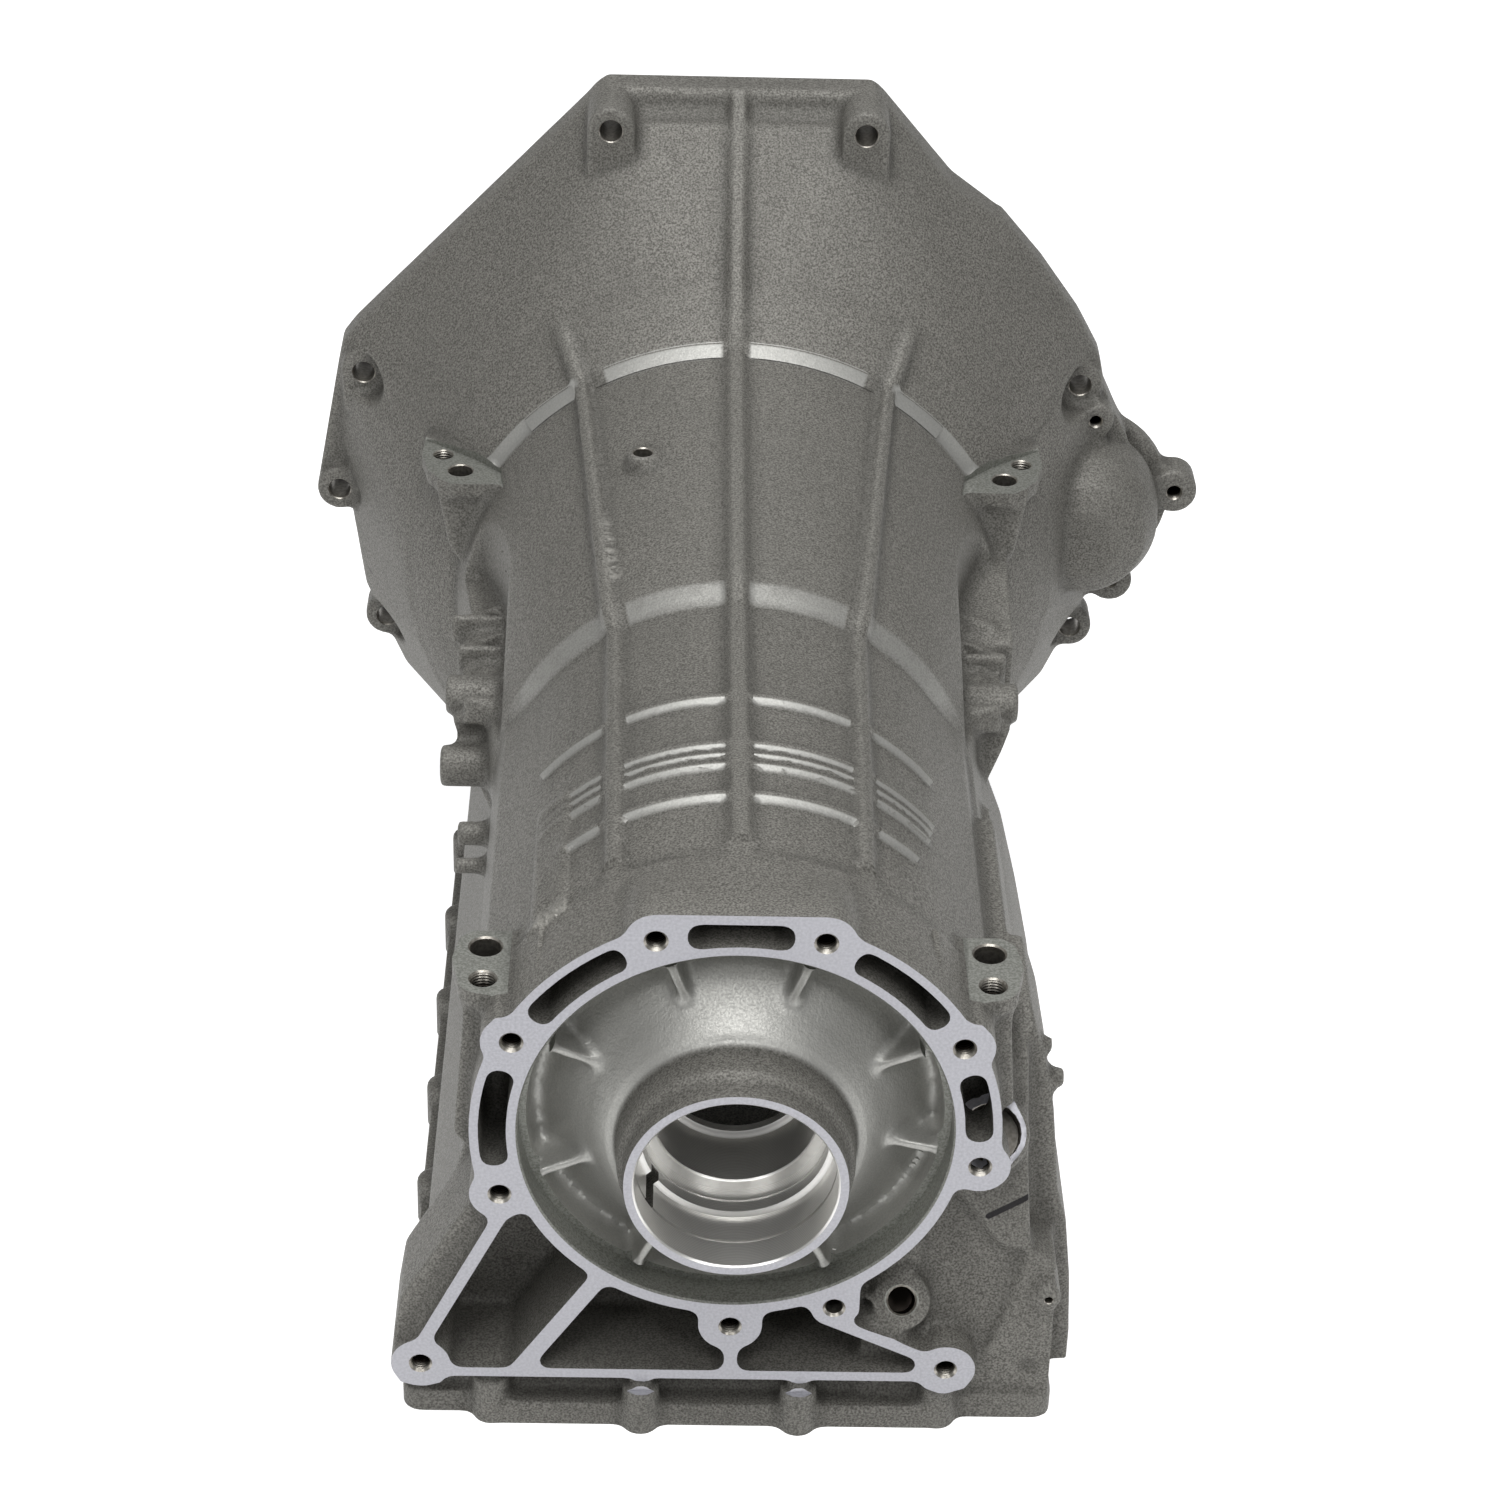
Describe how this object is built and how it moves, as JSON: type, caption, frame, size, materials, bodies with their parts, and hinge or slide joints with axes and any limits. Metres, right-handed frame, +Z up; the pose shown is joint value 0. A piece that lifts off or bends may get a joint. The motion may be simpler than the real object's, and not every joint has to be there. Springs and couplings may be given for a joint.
{
  "type": "automatic gearbox case",
  "caption": "Die cast automatic gearbox case: bell housing, ribbed barrel and open pan box in one piece, with a stepped output hub.",
  "frame": {"origin": "on the shaft axis, in the plane of the machined rear face", "axes": "+Y along the shaft axis toward the bell, +Z up away from the pan face, +X to the right seen from behind"},
  "size_m": [0.4944, 0.6274, 0.42],
  "materials": {
    "case": "matte"
  },
  "bodies": {
    "root": {"case": "case"}
  },
  "joints": []
}
